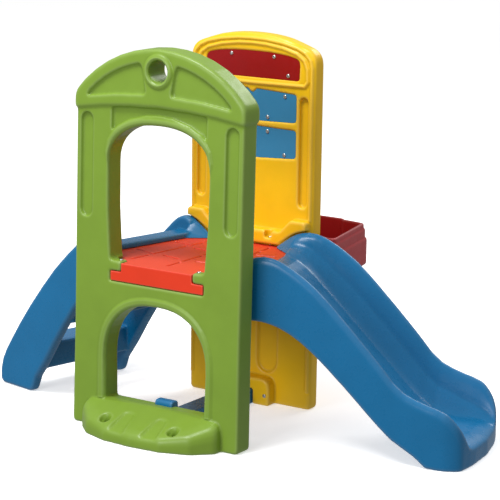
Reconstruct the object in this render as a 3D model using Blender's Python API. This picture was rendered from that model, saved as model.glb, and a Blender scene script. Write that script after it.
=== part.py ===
"""Toddler slide: a play climber with a slide, a ladder, two moulded walls and a ball bin.

Metres, +Z up. The slide runs towards +X, the ladder stands at -X, the green wall faces -Y.
"""

import math

import bmesh
import bpy
from mathutils import Matrix, Vector

for old in list(bpy.data.objects):
    bpy.data.objects.remove(old, do_unlink=True)

# ---------------------------------------------------------------- driving dimensions
GAP = 0.0003  # between faces that touch
FIT = 0.001  # between a tongue, hook or bar and the socket that takes it
HOLE_CLEARANCE = 0.0003  # radial, between a screw and its hole
MERGE = 0.00002  # corners nearer than this are one corner

DECK_TOP = 0.500
DECK_THICKNESS = 0.054
DECK_FRONT_HALF = 0.2646  # half width of the deck at its front edge
SPLAY = math.radians(12.0)  # slide and ladder turn back from the X axis by this angle

FRONT_Y = -0.372  # front face of the front wall at the floor
FRONT_THICKNESS = 0.066
FRONT_LEAN = 0.0258  # metres back for each metre up
FRONT_HALF = 0.2935
CAP_HALF = FRONT_HALF + 0.0055
CAP_BOTTOM = 0.937  # lower edge of the cap at its ends
CAP_ARCH = 0.026  # how much higher that edge is in the middle
CAP_TOP = 1.130
CAP_RISE = 0.1407  # of the cap's top arc over its ends
CAP_OVERHANG = 0.007
RELIEF = 0.009  # depth of the moulded recesses
REAR_RELIEF = 0.012  # depth of the rear wall's two flutes

WINDOW_HALF = 0.178
WINDOW_SPRING = 0.790
WINDOW_TOP = 0.911
LUG_HALF = 0.1255  # half of the clear width between the lugs
LUG_THICKNESS = 0.031
LUG_DEPTH = 0.036  # from the front face to the back of a lug
TONGUE_HALF = 0.1644
ARCH_HALF = 0.180
ARCH_SPRING = 0.215
ARCH_TOP = 0.386

RING_Z = 1.067
RING_RADIUS = 0.044
RING_HOLE = 0.033

BASE_HALF = 0.243
BASE_DEPTH = 0.116  # how far the base step stands in front of the wall
BASE_BACK_HEIGHT = 0.090
BASE_LIP_HEIGHT = 0.034

REAR_Y = 0.1254  # front face of the rear wall
REAR_THICKNESS = 0.050
REAR_HALF = 0.2226
REAR_BULGE = 0.003  # how much wider the rear wall is at the height of its panels
REAR_TOP = 1.137
SHOULDER_HALF = 0.217
SHOULDER_DEPTH = 0.030
SHOULDER_BOTTOM = DECK_TOP + 0.007
SHOULDER_MID_TOP = DECK_TOP + 0.049
SHOULDER_END_TOP = DECK_TOP + 0.088
SOCKET_DEPTH = 0.037  # how far the brace socket stands in front of the rear wall
SOCKET_HALF = 0.098
SOCKET_HEIGHT = 0.085

PANEL_THICKNESS = 0.004
PANEL_RECESS = 0.007  # depth of the pocket that takes a panel
RED_HALF = 0.167
RED_BOTTOM = 1.004
RED_TOP = 1.083
BLUE_HALF = 0.157
BLUE_MIDDLE = 0.866  # height of the bar between the two blue panels
BLUE_BAR = 0.016
BLUE_HEIGHT = 0.096
TOOTH_HALF = 0.017
TOOTH_DEPTH = 0.011

HOOK = 0.045  # from the deck's edge out to the top of the slide's hump
SLIDE_CENTRE_Y = -0.085  # where the slide's centre line crosses the deck's edge
SIDE_HALF = 0.198  # half width over the slide's or the ladder's sides
SIDE_THICKNESS = 0.042
RAIL_THICKNESS = 0.036  # of the ladder's sides
HUMP_HEIGHT = 0.060
SLIDE_END = 0.589
SLIDE_BOW = 0.030
FOOT_ROUNDING = 0.056  # how far before the end the sides start to curve down

STEP_HEIGHTS = (0.32 * DECK_TOP, 0.66 * DECK_TOP)
STEP_DEPTH = 0.105
STEP_THICKNESS = 0.018
STEP_SKIRT = 0.082

BRACE_HALF = 0.038
BRACE_HEIGHT = 0.048
HOOK_HALF = 0.031
HOOK_TOP = 0.100
HOOK_REACH = 0.018  # how far the brace's hook lies over the sill of the front wall

BIN_HALF = 0.275
BIN_REAR_HALF = 0.221
BIN_BACK = 0.488
BIN_BUMP = 0.115  # half width of the raised middle of the rear side
BIN_BOTTOM = 0.400
BIN_TOP = 0.530
BIN_WALL = 0.010
BIN_CORNER = 0.034
BIN_BAND_INSET = 0.005  # how far the two bands of the rim step in from the tub's side
BIN_RIM_INSET = 0.009

SCREW_HEAD = 0.0060
SCREW_HEAD_HEIGHT = 0.0028
SCREW_SHANK = 0.0022
SCREW_SIDES = 12

# ---------------------------------------------------------------- values worked out from them
DECK_FRONT_Y = FRONT_Y + FRONT_THICKNESS + FRONT_LEAN * DECK_TOP + FIT
DECK_REAR_Y = REAR_Y - GAP
DECK_BOTTOM = DECK_TOP - DECK_THICKNESS
TONGUE_TOP = DECK_TOP - LUG_THICKNESS + 0.005
LUG_TOP = TONGUE_TOP + LUG_THICKNESS
FRONT_BACK_Y = FRONT_Y + FRONT_THICKNESS
REAR_BACK_Y = REAR_Y + REAR_THICKNESS
CAP_RADIUS = (CAP_HALF**2 + CAP_RISE**2) / (2 * CAP_RISE)
CAP_CENTRE_Z = CAP_TOP - CAP_RADIUS
SCREW_HOLE = SCREW_SHANK + HOLE_CLEARANCE


def front_at(z):
    """Where the front wall's leaning front face is at height z."""
    return FRONT_Y + FRONT_LEAN * z


def deck_edge_x(y):
    """Half width of the deck at y: its sides are square to the slide's centre line."""
    return DECK_FRONT_HALF - math.tan(SPLAY) * (y - DECK_FRONT_Y)


# ---------------------------------------------------------------- materials
def material(name, colour, roughness, metallic=0.0):
    mat = bpy.data.materials.new(name)
    mat.use_nodes = True
    shader = mat.node_tree.nodes["Principled BSDF"]
    shader.inputs["Base Color"].default_value = (*colour, 1.0)
    shader.inputs["Roughness"].default_value = roughness
    shader.inputs["Metallic"].default_value = metallic
    mat.diffuse_color = (*colour, 1.0)
    return mat


GREEN = material("green_plastic", (0.22, 0.36, 0.05), 0.42)
YELLOW = material("yellow_plastic", (0.80, 0.48, 0.02), 0.38)
ORANGE = material("orange_plastic", (0.80, 0.08, 0.03), 0.45)
BLUE = material("blue_plastic", (0.02, 0.16, 0.42), 0.38)
DARK_RED = material("dark_red_plastic", (0.30, 0.012, 0.016), 0.40)
PANEL_BLUE = material("panel_blue", (0.06, 0.23, 0.42), 0.35)
PANEL_RED = material("panel_red", (0.33, 0.01, 0.015), 0.35)
STEEL = material("zinc_steel", (0.62, 0.62, 0.64), 0.30, 1.0)


# ---------------------------------------------------------------- outlines
def arc(centre_x, centre_y, radius_x, radius_y, start, end, steps):
    """Points on an ellipse from start to end, both in degrees."""
    points = []
    for i in range(steps + 1):
        angle = math.radians(start + (end - start) * i / steps)
        points.append((centre_x + radius_x * math.cos(angle), centre_y + radius_y * math.sin(angle)))
    return points


def rounded(corners, steps=4):
    """A polygon whose corners, given as (x, y, radius), are arcs tangent to both sides."""
    points = []
    count = len(corners)
    for i, (x, y, radius) in enumerate(corners):
        here = Vector((x, y))
        before = Vector(corners[i - 1][:2]) - here
        after = Vector(corners[(i + 1) % count][:2]) - here
        half = before.angle(after) / 2.0
        if radius <= 0.0 or half > math.radians(89.0):
            points.append((x, y))
            continue
        trim = min(radius / math.tan(half), 0.49 * before.length, 0.49 * after.length)
        first = here + before.normalized() * trim
        last = here + after.normalized() * trim
        for k in range(steps + 1):
            t = k / steps
            bend = first * (1 - t) ** 2 + here * 2 * t * (1 - t) + last * t**2
            points.append((bend.x, bend.y))
    return points


def mirrored(points):
    """An outline's right half, given from bottom to top, with its left half added."""
    return points + [(-x, y) for x, y in reversed(points) if abs(x) > 1e-6]


def smooth_curve(points):
    """A function that runs smoothly through points given as (x, y), in order of x."""
    xs = [p[0] for p in points]
    ys = [p[1] for p in points]
    slopes = []
    for i in range(len(points)):
        low, high = max(i - 1, 0), min(i + 1, len(points) - 1)
        slopes.append((ys[high] - ys[low]) / (xs[high] - xs[low]))

    def value(x):
        x = min(max(x, xs[0]), xs[-1])
        i = min(sum(1 for known in xs[1:] if known <= x), len(xs) - 2)
        width = xs[i + 1] - xs[i]
        t = (x - xs[i]) / width
        rise = (2 * t**3 - 3 * t**2 + 1) * ys[i] + (3 * t**2 - 2 * t**3) * ys[i + 1]
        return rise + width * ((t**3 - 2 * t**2 + t) * slopes[i] + (t**3 - t**2) * slopes[i + 1])

    return value


# ---------------------------------------------------------------- solids
def add_object(name, mesh_builder, mat=None):
    bmesh.ops.recalc_face_normals(mesh_builder, faces=mesh_builder.faces)
    mesh = bpy.data.meshes.new(name)
    mesh_builder.to_mesh(mesh)
    mesh_builder.free()
    obj = bpy.data.objects.new(name, mesh)
    bpy.context.scene.collection.objects.link(obj)
    if mat:
        mesh.materials.append(mat)
    return obj


def settle(obj):
    """Replaces the object's mesh by the shape that its modifiers give."""
    bpy.context.view_layer.update()
    evaluated = obj.evaluated_get(bpy.context.evaluated_depsgraph_get())
    mesh = bpy.data.meshes.new_from_object(evaluated)
    obj.modifiers.clear()
    obj.data = mesh
    builder = bmesh.new()
    builder.from_mesh(mesh)
    bmesh.ops.remove_doubles(builder, verts=builder.verts, dist=MERGE)
    bmesh.ops.dissolve_degenerate(builder, edges=builder.edges, dist=MERGE)
    builder.to_mesh(mesh)
    builder.free()
    return obj


def round_edges(obj, width, segments=2, angle=40.0):
    bevel = obj.modifiers.new("round", "BEVEL")
    bevel.width = width
    bevel.segments = segments
    bevel.limit_method = "ANGLE"
    bevel.angle_limit = math.radians(angle)
    return settle(obj)


def combine(obj, other, operation):
    boolean = obj.modifiers.new(operation.lower(), "BOOLEAN")
    boolean.operation = operation
    boolean.solver = "EXACT"
    boolean.object = other
    settle(obj)
    bpy.data.objects.remove(other, do_unlink=True)
    return obj


def cut(obj, *cutters):
    for cutter in cutters:
        combine(obj, cutter, "DIFFERENCE")
    return obj


def join(obj, *others):
    for other in others:
        combine(obj, other, "UNION")
    return obj


def prism(name, outline, low, high, place, mat=None):
    """A closed prism: place turns an outline point and a depth into a corner in space."""
    builder = bmesh.new()
    near = [builder.verts.new(place(a, b, low)) for a, b in outline]
    far = [builder.verts.new(place(a, b, high)) for a, b in outline]
    builder.faces.new(near)
    builder.faces.new(list(reversed(far)))
    count = len(outline)
    for i in range(count):
        k = (i + 1) % count
        builder.faces.new((near[k], near[i], far[i], far[k]))
    return add_object(name, builder, mat)


def upright(x, z, y):
    """Outline in the XZ plane, depth along Y."""
    return (x, y, z)


def flat(x, y, z):
    """Outline in the XY plane, depth along Z."""
    return (x, y, z)


def box(name, low, high, mat=None):
    outline = [(low[0], low[1]), (high[0], low[1]), (high[0], high[1]), (low[0], high[1])]
    return prism(name, outline, low[2], high[2], flat, mat)


def cylinder(name, start, axis, radius, length, sides=12, mat=None, end_radius=None):
    builder = bmesh.new()
    turn = Vector(axis).to_track_quat("Z", "Y").to_matrix().to_4x4()
    shift = Matrix.Translation(Vector(start) + Vector(axis).normalized() * length / 2)
    bmesh.ops.create_cone(
        builder,
        cap_ends=True,
        segments=sides,
        radius1=radius,
        radius2=radius if end_radius is None else end_radius,
        depth=length,
        matrix=shift @ turn,
    )
    return add_object(name, builder, mat)


def shade(obj, angle=35.0):
    obj.data.shade_smooth()
    obj.data.set_sharp_from_angle(angle=math.radians(angle))
    return obj


# ---------------------------------------------------------------- screws
def screw_mesh(axis, length):
    """A pan-head screw whose head's underside is at the origin and whose shank runs along axis."""
    profile = [(0.0, -SCREW_HEAD_HEIGHT)]
    profile += arc(0.0, 0.0, SCREW_HEAD, SCREW_HEAD_HEIGHT, -55, 0, 2)
    profile += [(SCREW_SHANK, 0.0), (SCREW_SHANK, length - SCREW_SHANK), (0.0, length)]
    turn = Vector(axis).to_track_quat("Z", "Y").to_matrix()
    builder = bmesh.new()
    rings = []
    for radius, along in profile:
        angles = [2 * math.pi * i / SCREW_SIDES for i in range(SCREW_SIDES if radius else 1)]
        spots = [Vector((radius * math.cos(a), radius * math.sin(a), along)) for a in angles]
        rings.append([builder.verts.new(turn @ spot) for spot in spots])
    for lower, upper in zip(rings, rings[1:]):
        for i in range(SCREW_SIDES):
            k = (i + 1) % SCREW_SIDES
            corners = [lower[i % len(lower)], lower[k % len(lower)]]
            corners += [upper[k % len(upper)], upper[i % len(upper)]]
            builder.faces.new(list(dict.fromkeys(corners)))
    bmesh.ops.recalc_face_normals(builder, faces=builder.faces)
    mesh = bpy.data.meshes.new("screw")
    builder.to_mesh(mesh)
    builder.free()
    mesh.materials.append(STEEL)
    mesh.shade_smooth()
    mesh.set_sharp_from_angle(angle=math.radians(35.0))
    return mesh


def make_screws(name, seats, axis, length):
    """One screw for each seat, the point where the head's underside rests."""
    mesh = screw_mesh(axis, length)
    for number, seat in enumerate(seats, 1):
        screw = bpy.data.objects.new(f"{name}_{number}", mesh)
        screw.location = Vector(seat) - Vector(axis).normalized() * GAP
        bpy.context.scene.collection.objects.link(screw)


def screw_hole(seat, axis, length, radius=SCREW_HOLE):
    """A cutter for one screw's shank, which starts just outside its seat."""
    start = Vector(seat) - Vector(axis).normalized() * FIT
    return cylinder("screw_hole", start, axis, radius, length + 2 * FIT)


def both_sides(x, y, z):
    return [(-x, y, z), (x, y, z)]


# ---------------------------------------------------------------- where screws sit
LUG_SCREW_SEATS = both_sides(LUG_HALF + 0.013, FRONT_Y + FRONT_LEAN * LUG_TOP + 0.020, LUG_TOP)
LUG_SCREW_LENGTH = 0.045
SHOULDER_SCREW_SEATS = both_sides(0.083, REAR_Y - SHOULDER_DEPTH / 2, DECK_TOP + 0.026)
SHOULDER_SCREW_LENGTH = 0.052
SCOOP_RADIUS = 0.014
BRACE_SCREW_SEATS = both_sides(SOCKET_HALF - 0.014, REAR_Y - SOCKET_DEPTH, 0.033)
BRACE_SCREW_LENGTH = 0.044
RED_SCREWS = [(0.0765, RED_TOP - 0.013), (0.127, RED_BOTTOM + 0.013)]
UPPER_SCREWS = [(0.117, BLUE_MIDDLE + BLUE_BAR / 2 + 0.080), (0.056, BLUE_MIDDLE + BLUE_BAR / 2 + 0.014)]
PANEL_FACE_Y = REAR_Y + PANEL_RECESS - GAP - PANEL_THICKNESS
PANEL_SCREW_LENGTH = 0.016
BIN_SKIN = BIN_RIM_INSET + BIN_WALL  # thickness of the tub's side below its rim
BIN_SCREW_LENGTH = BIN_SKIN + 0.018
DECK_SCREW_LENGTH = DECK_THICKNESS + 0.013


def panel_seats(spots):
    return [(side * x, PANEL_FACE_Y, z) for x, z in spots for side in (-1, 1)]


LOWER_SCREWS = [(x, 2 * BLUE_MIDDLE - z) for x, z in UPPER_SCREWS]
RED_SEATS = panel_seats(RED_SCREWS)
UPPER_SEATS = panel_seats(UPPER_SCREWS)
LOWER_SEATS = panel_seats(LOWER_SCREWS)
BIN_SCREW_SEATS = both_sides(0.120, REAR_BACK_Y + GAP + BIN_SKIN, BIN_BOTTOM + 0.085)


# ---------------------------------------------------------------- slide and ladder frame
def splayed(side):
    """Turns (along, up, across) into space for the slide (side 1) or the ladder (side -1).

    along starts at the top of the hump and grows outwards; across grows towards the rear wall.
    """
    cosine, sine = math.cos(SPLAY), math.sin(SPLAY)
    edge_x = deck_edge_x(SLIDE_CENTRE_Y)

    def place(along, up, across):
        out = along + HOOK
        x = edge_x + out * cosine - across * sine
        return (side * x, SLIDE_CENTRE_Y + out * sine + across * cosine, up)

    return place


SLIDE_AT = splayed(1)
LADDER_AT = splayed(-1)
DECK_SCREW_ALONG = -HOOK - 0.024  # on the wings, just inside the deck's edge
DECK_SCREW_ACROSS = SIDE_HALF - SIDE_THICKNESS / 2

RISE = DECK_TOP / 0.5  # the slide's and the ladder's curves are for a deck half a metre up


def risen(points):
    """A smooth curve through points whose heights follow the deck's."""
    return smooth_curve([(along, up * RISE) for along, up in points])


HUMP = [
    (-0.108, DECK_TOP + 0.0060),
    (-0.082, DECK_TOP + 0.0250),
    (-0.045, DECK_TOP + 0.0490),
    (0.000, DECK_TOP + HUMP_HEIGHT),
]
SLIDE_CREST = smooth_curve(
    HUMP
    + [
        (0.045, DECK_TOP + 0.0520),
        (0.100, DECK_TOP + 0.0230),
        (0.160, 0.480 * RISE),
        (0.250, 0.391 * RISE),
        (0.350, 0.284 * RISE),
        (0.395, 0.232 * RISE),
        (0.430, 0.206 * RISE),
        (0.480, 0.186 * RISE),
        (0.530, 0.171 * RISE),
        (0.565, 0.158 * RISE),
    ]
)
LADDER_CREST = smooth_curve(
    HUMP[:-1]
    + [
        (-0.012, DECK_TOP + HUMP_HEIGHT),
        (0.018, DECK_TOP + 0.0510),
        (0.042, DECK_TOP + 0.0340),
        (0.075, DECK_TOP + 0.0040),
        (0.115, 0.471 * RISE),
        (0.165, 0.427 * RISE),
        (0.240, 0.347 * RISE),
        (0.320, 0.253 * RISE),
        (0.384, 0.168 * RISE),
        (0.423, 0.112 * RISE),
    ]
)
SLIDE_FLOOR = risen(
    [
        (-0.045, 0.503),
        (-0.010, 0.499),
        (0.030, 0.474),
        (0.080, 0.426),
        (0.180, 0.327),
        (0.300, 0.205),
        (0.360, 0.145),
        (0.410, 0.104),
        (0.460, 0.080),
        (0.520, 0.068),
        (SLIDE_END, 0.060),
    ]
)
SLIDE_BOTTOM = risen(
    [
        (-0.045, 0.372),
        (0.010, 0.369),
        (0.070, 0.350),
        (0.142, 0.304),
        (0.250, 0.206),
        (0.340, 0.117),
        (0.395, 0.068),
        (0.450, 0.037),
        (0.482, 0.010),
        (0.495, 0.0),
    ]
)


WING_TIP = -0.108
WING_STATIONS = (-0.102, -0.095, -0.085, -0.075, -0.065, -0.055)
# Inwards from the outer face, and up as a share of the height above the deck: over the crest and down.
WING_PROFILE = (
    (0.000, 0.00),
    (0.000, 0.58),
    (0.004, 0.87),
    (0.013, 1.00),
    (0.023, 0.93),
    (0.033, 0.76),
    (0.049, 0.50),
    (0.056, 0.36),
    (0.086, 0.00),
)


def wing_outline(crest, grow=0.0, reach=0.02):
    """A side above the deck, seen from outside, from its tip out to reach past the deck's edge."""
    stations = [WING_TIP, -0.095, -0.082, -0.065, -0.045, -0.02, 0.0, reach]
    top = [(s, crest(s) + grow) for s in stations]
    top[0] = (top[0][0] - grow, top[0][1])
    return [(WING_TIP - grow, DECK_TOP + GAP - grow), (reach, DECK_TOP + GAP - grow)] + top[::-1]


def loft(name, rings, mat=None, end_faces=None):
    """A closed solid through rings of the same number of corners.

    end_faces lists the last ring's faces by corner number, for a last ring that isn't flat.
    """
    builder = bmesh.new()
    rows = [[builder.verts.new(corner) for corner in ring] for ring in rings]
    for low, high in zip(rows, rows[1:]):
        count = len(low)
        for i in range(count):
            k = (i + 1) % count
            builder.faces.new((low[i], low[k], high[k], high[i]))
    builder.faces.new(rows[0])
    for corners in end_faces or [range(len(rows[-1]))]:
        builder.faces.new([rows[-1][i] for i in corners])
    return add_object(name, builder, mat)


def add_wings(body, crest, place):
    """Joins the two wings that stand on the deck to the slide or the ladder."""
    base = DECK_TOP + GAP
    for side in (-1, 1):
        rings = []
        for along in (WING_TIP, *WING_STATIONS, -HOOK + 0.006):
            grown = min((along - WING_TIP) / (-HOOK - WING_TIP), 1.0)
            height = crest(along) - base - 0.0003
            width = 0.20 + 0.80 * grown
            outer = SIDE_HALF - 0.0002
            ring = [(outer - width * inward, base + share * height) for inward, share in WING_PROFILE]
            rings.append([place(along, up, side * across) for across, up in ring])
        join(body, loft("wing", rings))


# ---------------------------------------------------------------- front wall
def cap_edge(offset, half, steps=12):
    """The cap's top arc, offset inwards, from +half to -half."""
    radius = CAP_RADIUS - offset
    reach = math.degrees(math.asin(half / radius))
    return arc(0.0, CAP_CENTRE_Z, radius, radius, 90 - reach, 90 + reach, steps)


def cap_floor(x, raise_by=0.0):
    """Height of the cap's lower edge at x."""
    return CAP_BOTTOM + raise_by + CAP_ARCH * (1 - (x / CAP_HALF) ** 2)


def cap_outline():
    corner_z = CAP_CENTRE_Z + math.sqrt(CAP_RADIUS**2 - CAP_HALF**2)
    floor = [(x, cap_floor(x), 0.0) for x in (-0.2, -0.1, 0.0, 0.1, 0.2)]
    right = [(CAP_HALF, CAP_BOTTOM, 0.012), (CAP_HALF, corner_z, 0.050)]
    top = [(x, z, 0.0) for x, z in cap_edge(0.0, CAP_HALF - 0.037)]
    left = [(-CAP_HALF, corner_z, 0.050), (-CAP_HALF, CAP_BOTTOM, 0.012)]
    return rounded(floor + right + top + left)


def arch(half, spring, top, power, steps=12):
    """Half of an arch, from its spring on the right up to its top on the middle line."""
    points = []
    for i in range(steps + 1):
        angle = math.pi / 2 * i / steps
        across = half * math.cos(angle) ** power if i < steps else 0.0
        points.append((across, spring + (top - spring) * math.sin(angle) ** power))
    return points


def window_outline():
    """The upper opening, with the deck's T-shaped slot below it."""
    throat = WINDOW_HALF - 0.012
    slot = rounded(
        [
            (0.0, DECK_BOTTOM - FIT, 0.0),
            (TONGUE_HALF + FIT, DECK_BOTTOM - FIT, 0.0),
            (TONGUE_HALF + FIT, TONGUE_TOP + FIT, 0.0),
            (LUG_HALF + FIT, TONGUE_TOP + FIT, 0.0),
            (LUG_HALF + FIT, LUG_TOP, 0.006),
            (throat, LUG_TOP, 0.012),
            (WINDOW_HALF - 0.002, (LUG_TOP + WINDOW_SPRING) / 2, 0.0),
        ],
        3,
    )
    slot = [p for p in slot if p[0] >= 0.0]
    return mirrored(slot + arch(WINDOW_HALF, WINDOW_SPRING, WINDOW_TOP, 0.88))


def crawl_outline():
    sill = BASE_BACK_HEIGHT - 0.004
    foot = [(0.0, sill), (ARCH_HALF - 0.004, sill)]
    return mirrored(foot + arch(ARCH_HALF, ARCH_SPRING, ARCH_TOP, 0.85, 10))


def spandrel_outline():
    """The sunk field between the cap and the bead over the window."""
    half = 0.166
    low = [(half, 0.884), (0.146, 0.900), (0.106, 0.921), (0.045, 0.937), (0.0, 0.940)]
    low += [(-x, z) for x, z in low[-2::-1]]
    high = [(x, cap_floor(x) - 0.002) for x in (-half, -0.10, 0.0, 0.10, half)]
    return low + high


def capsule(x, low, high, half):
    """An upright slot with round ends."""
    return arc(x, high - half, half, half, 0, 180, 6) + arc(x, low + half, half, half, 180, 360, 6)


def lunette_outline():
    """The right-hand sunk field of the cap."""
    upper = [(x, z, 0.0) for x, z in cap_edge(0.037, CAP_HALF - 0.056, 16) if 0.075 < x]
    corners = [(0.044, cap_floor(0.044, 0.036), 0.010), (0.150, cap_floor(0.150, 0.036), 0.0)]
    corners += [(CAP_HALF - 0.045, cap_floor(CAP_HALF - 0.045, 0.034), 0.010)] + upper
    corners += [(0.064, CAP_CENTRE_Z + CAP_RADIUS - 0.043, 0.010), (0.056, RING_Z, 0.0)]
    return rounded(corners)


BASE_SLOPE = (BASE_BACK_HEIGHT - BASE_LIP_HEIGHT) / BASE_DEPTH
BASE_ROUNDS = [(1.0, 0.0), (1.0, 0.55), (0.988, 0.76), (0.965, 0.90), (0.92, 0.975), (0.82, 1.0)]


def base_step():
    """The step moulded onto the foot of the front wall, its top sloping down to a lip."""
    front = FRONT_Y - BASE_DEPTH
    shape = rounded(
        [
            (0.0, front, 0.0),
            (0.100, front + 0.007, 0.0),
            (0.185, front + 0.036, 0.040),
            (BASE_HALF, front + 0.090, 0.034),
            (BASE_HALF - 0.006, FRONT_Y + 0.030, 0.0),
        ],
        4,
    )
    outline = mirrored(shape)
    centre = Vector((0.0, FRONT_Y + 0.012))
    builder = bmesh.new()
    rings = []
    for scale, share in BASE_ROUNDS:
        spots = [centre + (Vector(p) - centre) * scale for p in outline]
        heights = [share * (BASE_LIP_HEIGHT + BASE_SLOPE * (min(p.y, FRONT_Y) - front)) for p in spots]
        rings.append([builder.verts.new((p.x, p.y, z)) for p, z in zip(spots, heights)])
    count = len(outline)
    for low, high in zip(rings, rings[1:]):
        for i in range(count):
            k = (i + 1) % count
            builder.faces.new((low[k], low[i], high[i], high[k]))
    builder.faces.new(rings[0])
    middle = builder.verts.new((centre.x, centre.y, BASE_BACK_HEIGHT))
    for i in range(count):
        builder.faces.new((rings[-1][(i + 1) % count], rings[-1][i], middle))
    return add_object("base_step", builder)


def foot_print(x):
    """A shallow U-shaped tread that runs out over the base step's lip."""
    front = FRONT_Y - BASE_DEPTH
    outline = rounded(
        [
            (x - 0.031, front - 0.02, 0.0),
            (x + 0.031, front - 0.02, 0.0),
            (x + 0.019, front + 0.088, 0.016),
            (x - 0.019, front + 0.088, 0.016),
        ]
    )
    depth = 0.006

    def tilted(a, b, high):
        return (a, b, BASE_LIP_HEIGHT + BASE_SLOPE * (b - front) - depth + high)

    return prism("foot_print", outline, 0.0, 0.05, tilted)


def make_front_wall():
    y0, y1 = FRONT_Y, FRONT_BACK_Y
    foot, neck = FRONT_HALF + 0.003, CAP_BOTTOM + 0.028
    body_outline = rounded(
        [
            (-foot, 0.0, 0.012),
            (foot, 0.0, 0.012),
            (FRONT_HALF, 0.300, 0.0),
            (FRONT_HALF, neck, 0.0),
            (-FRONT_HALF, neck, 0.0),
            (-FRONT_HALF, 0.300, 0.0),
        ]
    )
    wall = prism("front_wall", body_outline, y0, y1, upright, GREEN)
    cut(wall, prism("window", window_outline(), y0 - 0.02, y1 + 0.02, upright))
    cut(wall, prism("crawl", crawl_outline(), y0 - 0.02, y1 + 0.02, upright))
    round_edges(wall, 0.007, 2, 35.0)
    room = TONGUE_HALF + FIT + 0.0005
    slot_low = (-room, y0 - 0.02, DECK_BOTTOM - 1.5 * FIT)
    slot_high = (room, y1 + 0.02, TONGUE_TOP + 1.5 * FIT)
    cut(wall, box("slot", slot_low, slot_high))
    cap = prism("cap", cap_outline(), y0 - CAP_OVERHANG, y1 + CAP_OVERHANG, upright)
    join(wall, round_edges(cap, 0.009, 2, 40.0), base_step())
    relief_y = (y0 - 0.02, y0 + RELIEF)
    cap_relief_y = (y0 - 0.03, y0 - CAP_OVERHANG + RELIEF)
    cut(wall, prism("spandrel", spandrel_outline(), *relief_y, upright))
    for side in (-1, 1):
        cut(wall, prism("flute", capsule(side * (FRONT_HALF - 0.0385), 0.624, 0.931, 0.021), *relief_y, upright))
        field = [(side * x, z) for x, z in lunette_outline()]
        cut(wall, prism("lunette", field, *cap_relief_y, upright))
        cut(wall, foot_print(side * 0.058))
        stake = Vector((side * 0.121, FRONT_Y - 0.060, -0.01))
        cut(wall, cylinder("stake_hole", stake, (0, 0, 1), 0.0085, 0.12))
        scoop = stake + Vector((0.0, -0.010, 0.052))
        cut(wall, cylinder("stake_scoop", scoop, (0, 0, 1), 0.013, 0.05, 16, None, 0.031))
    ring_at = (0, y0 - CAP_OVERHANG - 0.004, RING_Z)
    ring = cylinder("ring", ring_at, (0, 1, 0), RING_RADIUS - 0.004, 0.02, 24, None, RING_RADIUS + 0.008)
    join(wall, ring)
    cut(wall, cylinder("ring_hole", (0, y0 - 0.05, RING_Z), (0, 1, 0), RING_HOLE, 0.2, 24))
    hook_low = (-HOOK_HALF - FIT, FRONT_BACK_Y - HOOK_REACH - FIT, BRACE_HEIGHT - FIT)
    hook_high = (HOOK_HALF + FIT, FRONT_BACK_Y + 0.02, 0.2)
    cut(wall, box("hook_pocket", hook_low, hook_high))
    for vertex in wall.data.vertices:
        vertex.co.y += FRONT_LEAN * vertex.co.z
    behind = front_at(LUG_TOP) + LUG_DEPTH
    wide = room + 0.0005
    low, high = (-wide, behind, DECK_BOTTOM - FIT), (wide, y1 + 0.05, LUG_TOP + 0.001)
    cut(wall, box("deck_room", low, high))
    for seat in LUG_SCREW_SEATS:
        cut(wall, screw_hole(seat, (0, 0, -1), LUG_SCREW_LENGTH))
    return shade(wall)


# ---------------------------------------------------------------- rear wall
def rear_outline():
    wide = REAR_HALF + REAR_BULGE
    right = [(REAR_HALF, 0.0, 0.014), (wide, REAR_TOP * 0.6, 0.0), (wide, REAR_TOP - 0.046, 0.078)]
    drops = [(0.150, 0.0205), (0.120, 0.0115), (0.090, 0.0060), (0.060, 0.0025), (0.030, 0.0006), (0.0, 0.0)]
    half = right + [(x, REAR_TOP - drop, 0.0) for x, drop in drops]
    left = [(-x, z, radius) for x, z, radius in half[-2::-1]]
    return rounded(half + left, 6)


def red_outline(grow=0.0):
    half = RED_HALF + grow
    right = [(half - 0.001, RED_BOTTOM - grow, 0.008), (half + 0.001, RED_TOP - 0.016 + grow, 0.022)]
    drops = [(0.125, 0.0068), (0.095, 0.0034), (0.065, 0.0012), (0.030, 0.0002), (0.0, 0.0)]
    right += [(x, RED_TOP - drop + grow, 0.0) for x, drop in drops]
    left = [(-x, z, radius) for x, z, radius in right[-2::-1]]
    return rounded(right + left, 4)


def blue_outline(up, grow=0.0):
    """A blue panel: up is 1 for the upper one and -1 for the lower one, its mirror image."""
    near = BLUE_BAR / 2 - grow
    far = BLUE_BAR / 2 + BLUE_HEIGHT + grow
    half = BLUE_HALF + grow
    tooth = TOOTH_HALF - grow
    corners = [(-half, near + 0.004, 0.010), (0.0, near, 0.0), (half, near + 0.004, 0.010)]
    corners += [(half, far - 0.008, 0.010), (tooth, far, 0.002), (0.004, far - TOOTH_DEPTH, 0.0)]
    corners += [(-0.004, far - TOOTH_DEPTH, 0.0), (-tooth, far, 0.002), (-half, far - 0.008, 0.010)]
    points = [(x, BLUE_MIDDLE + up * z) for x, z in rounded(corners, 3)]
    return points if up > 0 else points[::-1]


def shoulder_outline():
    right = [
        (0.0, SHOULDER_BOTTOM, 0.0),
        (SHOULDER_HALF, SHOULDER_BOTTOM, 0.009),
        (SHOULDER_HALF, SHOULDER_END_TOP, 0.012),
        (0.160, SHOULDER_END_TOP, 0.018),
        (0.122, SHOULDER_MID_TOP, 0.016),
        (0.0, SHOULDER_MID_TOP, 0.0),
    ]
    return mirrored(rounded(right, 4))


def side_clearance(place):
    """Room beside the deck for the side of the slide or ladder that passes the shoulder."""
    crest = SLIDE_CREST if place is SLIDE_AT else LADDER_CREST
    low, high = SIDE_HALF - SIDE_THICKNESS - 0.02, SIDE_HALF + 0.002
    return prism("side_clearance", wing_outline(crest, 0.003, 0.06), low, high, place)


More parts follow.
